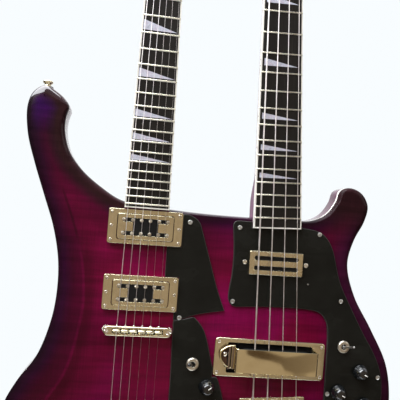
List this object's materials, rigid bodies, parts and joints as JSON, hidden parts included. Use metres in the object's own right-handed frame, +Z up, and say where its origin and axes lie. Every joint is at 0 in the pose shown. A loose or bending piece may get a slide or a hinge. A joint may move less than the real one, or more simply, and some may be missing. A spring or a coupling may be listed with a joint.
{
  "type": "double-neck electric guitar",
  "caption": "Double-neck electric guitar: a six-string neck beside a four-string bass neck on one carved, horned body, with its pickups, bridges, tuners and controls.",
  "frame": {"origin": "a point on the flat back of the body, level with the six-string neck's saddles and midway between the necks", "axes": "+X to the viewer's right, +Y from the front into the body, +Z up the six-string neck"},
  "size_m": [0.503, 0.0864, 1.209],
  "materials": {
    "back_lacquer": "clear gloss over stained wood",
    "top_lacquer": "clear gloss over stained flame maple",
    "binding": "polished",
    "neck_lacquer": "clear gloss over stained wood",
    "fretboard_wood": "oiled",
    "nut": "polished bone",
    "string_steel": "plain and wound",
    "pickguard": "gloss",
    "knob": "gloss",
    "coil": "moulded",
    "hardware": "polished plate"
  },
  "bodies": {
    "instrument": {"guitar_tuner_plate_left": "hardware", "guitar_tuner_plate_right": "hardware", "guitar_neck": "neck_lacquer", "guitar_fretboard": "fretboard_wood", "guitar_nut": "nut", "guitar_strings": "string_steel", "guitar_bridge": "hardware", "guitar_tailpiece": "hardware", "bass_tuner_plate_left": "hardware", "bass_tuner_plate_right": "hardware", "bass_neck": "neck_lacquer", "bass_fretboard": "fretboard_wood", "bass_nut": "nut", "bass_strings": "string_steel", "bass_bridge": "hardware", "body": "back_lacquer", "maple_top": "top_lacquer", "body_binding": "binding", "guitar_pickguard_upper": "pickguard", "guitar_pickguard_lower": "pickguard", "bass_pickguard": "pickguard", "guitar_neck_pickup_ring": "hardware", "guitar_bridge_pickup_ring": "hardware", "guitar_neck_pickup": "hardware", "guitar_bridge_pickup": "hardware", "bass_neck_pickup": "hardware", "bass_bridge_pickup_surround": "hardware", "bass_bridge_pickup_cover": "hardware", "bass_bridge_pickup": "coil", "jack_plate": "hardware", "strap_button_horn": "hardware", "strap_button_tail": "hardware"},
    "guitar_tuner_key_1": {"guitar_tuner_key_1": "hardware"},
    "guitar_string_post_1": {"guitar_string_post_1": "hardware"},
    "guitar_tuner_key_2": {"guitar_tuner_key_2": "hardware"},
    "guitar_string_post_2": {"guitar_string_post_2": "hardware"},
    "guitar_tuner_key_3": {"guitar_tuner_key_3": "hardware"},
    "guitar_string_post_3": {"guitar_string_post_3": "hardware"},
    "guitar_tuner_key_4": {"guitar_tuner_key_4": "hardware"},
    "guitar_string_post_4": {"guitar_string_post_4": "hardware"},
    "guitar_tuner_key_5": {"guitar_tuner_key_5": "hardware"},
    "guitar_string_post_5": {"guitar_string_post_5": "hardware"},
    "guitar_tuner_key_6": {"guitar_tuner_key_6": "hardware"},
    "guitar_string_post_6": {"guitar_string_post_6": "hardware"},
    "bass_tuner_key_1": {"bass_tuner_key_1": "hardware"},
    "bass_string_post_1": {"bass_string_post_1": "hardware"},
    "bass_tuner_key_2": {"bass_tuner_key_2": "hardware"},
    "bass_string_post_2": {"bass_string_post_2": "hardware"},
    "bass_tuner_key_3": {"bass_tuner_key_3": "hardware"},
    "bass_string_post_3": {"bass_string_post_3": "hardware"},
    "bass_tuner_key_4": {"bass_tuner_key_4": "hardware"},
    "bass_string_post_4": {"bass_string_post_4": "hardware"},
    "guitar_knob_1": {"guitar_knob_1": "knob"},
    "guitar_knob_2": {"guitar_knob_2": "knob"},
    "bass_knob_1": {"bass_knob_1": "knob"},
    "bass_knob_2": {"bass_knob_2": "knob"},
    "bass_knob_3": {"bass_knob_3": "knob"},
    "bass_knob_4": {"bass_knob_4": "knob"},
    "guitar_switch_lever": {"guitar_switch_lever": "hardware"},
    "bass_switch_lever": {"bass_switch_lever": "hardware"}
  },
  "joints": [
    {"name": "guitar_tuner_key_1_turn", "type": "hinge", "parent": "instrument", "child": "guitar_tuner_key_1", "pos_m": [-0.114, -0.01226, 0.66762], "axis": [-1, 0, 0], "continuous": true},
    {"name": "guitar_string_post_1_turn", "type": "hinge", "parent": "instrument", "child": "guitar_string_post_1", "pos_m": [-0.114, -0.02879, 0.68047], "axis": [0, -0.9744, 0.225], "continuous": true},
    {"name": "guitar_tuner_key_2_turn", "type": "hinge", "parent": "instrument", "child": "guitar_tuner_key_2", "pos_m": [-0.114, -0.00371, 0.70466], "axis": [-1, 0, 0], "continuous": true},
    {"name": "guitar_string_post_2_turn", "type": "hinge", "parent": "instrument", "child": "guitar_string_post_2", "pos_m": [-0.114, -0.02024, 0.71751], "axis": [0, -0.9744, 0.225], "continuous": true},
    {"name": "guitar_tuner_key_3_turn", "type": "hinge", "parent": "instrument", "child": "guitar_tuner_key_3", "pos_m": [-0.114, 0.00485, 0.7417], "axis": [-1, 0, 0], "continuous": true},
    {"name": "guitar_string_post_3_turn", "type": "hinge", "parent": "instrument", "child": "guitar_string_post_3", "pos_m": [-0.114, -0.01169, 0.75455], "axis": [0, -0.9744, 0.225], "continuous": true},
    {"name": "guitar_tuner_key_4_turn", "type": "hinge", "parent": "instrument", "child": "guitar_tuner_key_4", "pos_m": [-0.066, -0.01226, 0.66762], "axis": [1, 0, 0], "continuous": true},
    {"name": "guitar_string_post_4_turn", "type": "hinge", "parent": "instrument", "child": "guitar_string_post_4", "pos_m": [-0.066, -0.02879, 0.68047], "axis": [0, -0.9744, 0.225], "continuous": true},
    {"name": "guitar_tuner_key_5_turn", "type": "hinge", "parent": "instrument", "child": "guitar_tuner_key_5", "pos_m": [-0.066, -0.00371, 0.70466], "axis": [1, 0, 0], "continuous": true},
    {"name": "guitar_string_post_5_turn", "type": "hinge", "parent": "instrument", "child": "guitar_string_post_5", "pos_m": [-0.066, -0.02024, 0.71751], "axis": [0, -0.9744, 0.225], "continuous": true},
    {"name": "guitar_tuner_key_6_turn", "type": "hinge", "parent": "instrument", "child": "guitar_tuner_key_6", "pos_m": [-0.066, 0.00485, 0.7417], "axis": [1, 0, 0], "continuous": true},
    {"name": "guitar_string_post_6_turn", "type": "hinge", "parent": "instrument", "child": "guitar_string_post_6", "pos_m": [-0.066, -0.01169, 0.75455], "axis": [0, -0.9744, 0.225], "continuous": true},
    {"name": "bass_tuner_key_1_turn", "type": "hinge", "parent": "instrument", "child": "bass_tuner_key_1", "pos_m": [0.02343, -0.0093, 0.81946], "axis": [-0.9991, 0, -0.0429], "continuous": true},
    {"name": "bass_string_post_1_turn", "type": "hinge", "parent": "instrument", "child": "bass_string_post_1", "pos_m": [0.02265, -0.02564, 0.83759], "axis": [-0.0097, -0.9744, 0.2247], "continuous": true},
    {"name": "bass_tuner_key_2_turn", "type": "hinge", "parent": "instrument", "child": "bass_tuner_key_2", "pos_m": [0.02059, 0.00596, 0.8855], "axis": [-0.9991, 0, -0.0429], "continuous": true},
    {"name": "bass_string_post_2_turn", "type": "hinge", "parent": "instrument", "child": "bass_string_post_2", "pos_m": [0.01981, -0.01038, 0.90363], "axis": [-0.0097, -0.9744, 0.2247], "continuous": true},
    {"name": "bass_tuner_key_3_turn", "type": "hinge", "parent": "instrument", "child": "bass_tuner_key_3", "pos_m": [0.07738, -0.0093, 0.82178], "axis": [0.9991, 0, 0.0429], "continuous": true},
    {"name": "bass_string_post_3_turn", "type": "hinge", "parent": "instrument", "child": "bass_string_post_3", "pos_m": [0.0766, -0.02564, 0.83991], "axis": [-0.0097, -0.9744, 0.2247], "continuous": true},
    {"name": "bass_tuner_key_4_turn", "type": "hinge", "parent": "instrument", "child": "bass_tuner_key_4", "pos_m": [0.07454, 0.00596, 0.88782], "axis": [0.9991, 0, 0.0429], "continuous": true},
    {"name": "bass_string_post_4_turn", "type": "hinge", "parent": "instrument", "child": "bass_string_post_4", "pos_m": [0.07376, -0.01038, 0.90594], "axis": [-0.0097, -0.9744, 0.2247], "continuous": true},
    {"name": "guitar_knob_1_turn", "type": "hinge", "parent": "instrument", "child": "guitar_knob_1", "pos_m": [0.00203, 0, -0.06697], "axis": [0, -1, 0], "range_deg": [-60, 240]},
    {"name": "guitar_knob_2_turn", "type": "hinge", "parent": "instrument", "child": "guitar_knob_2", "pos_m": [0.01002, 0, -0.11196], "axis": [0, -1, 0], "range_deg": [-60, 240]},
    {"name": "bass_knob_1_turn", "type": "hinge", "parent": "instrument", "child": "bass_knob_1", "pos_m": [0.20595, 0, -0.04197], "axis": [0, -1, 0], "range_deg": [-60, 240]},
    {"name": "bass_knob_2_turn", "type": "hinge", "parent": "instrument", "child": "bass_knob_2", "pos_m": [0.17699, 0, -0.06898], "axis": [0, -1, 0], "range_deg": [-60, 240]},
    {"name": "bass_knob_3_turn", "type": "hinge", "parent": "instrument", "child": "bass_knob_3", "pos_m": [0.214, 0, -0.08494], "axis": [0, -1, 0], "range_deg": [-60, 240]},
    {"name": "bass_knob_4_turn", "type": "hinge", "parent": "instrument", "child": "bass_knob_4", "pos_m": [0.18496, 0, -0.11099], "axis": [0, -1, 0], "range_deg": [-60, 240]},
    {"name": "guitar_switch_lever_throw", "type": "hinge", "parent": "instrument", "child": "guitar_switch_lever", "pos_m": [-0.01802, -0.0425, -0.03894], "axis": [0.5446, 0, 0.8387], "range_deg": [0, 48]},
    {"name": "bass_switch_lever_throw", "type": "hinge", "parent": "instrument", "child": "bass_switch_lever", "pos_m": [0.18098, -0.0425, -0.00992], "axis": [0.6691, 0, -0.7431], "range_deg": [0, 40]}
  ],
  "couplings": [
    {"joint": "guitar_string_post_1_turn", "follows": "guitar_tuner_key_1_turn", "ratio": 0.066667},
    {"joint": "guitar_string_post_2_turn", "follows": "guitar_tuner_key_2_turn", "ratio": 0.066667},
    {"joint": "guitar_string_post_3_turn", "follows": "guitar_tuner_key_3_turn", "ratio": 0.066667},
    {"joint": "guitar_string_post_4_turn", "follows": "guitar_tuner_key_4_turn", "ratio": -0.066667},
    {"joint": "guitar_string_post_5_turn", "follows": "guitar_tuner_key_5_turn", "ratio": -0.066667},
    {"joint": "guitar_string_post_6_turn", "follows": "guitar_tuner_key_6_turn", "ratio": -0.066667},
    {"joint": "bass_string_post_1_turn", "follows": "bass_tuner_key_1_turn", "ratio": 0.05},
    {"joint": "bass_string_post_2_turn", "follows": "bass_tuner_key_2_turn", "ratio": 0.05},
    {"joint": "bass_string_post_3_turn", "follows": "bass_tuner_key_3_turn", "ratio": -0.05},
    {"joint": "bass_string_post_4_turn", "follows": "bass_tuner_key_4_turn", "ratio": -0.05}
  ]
}
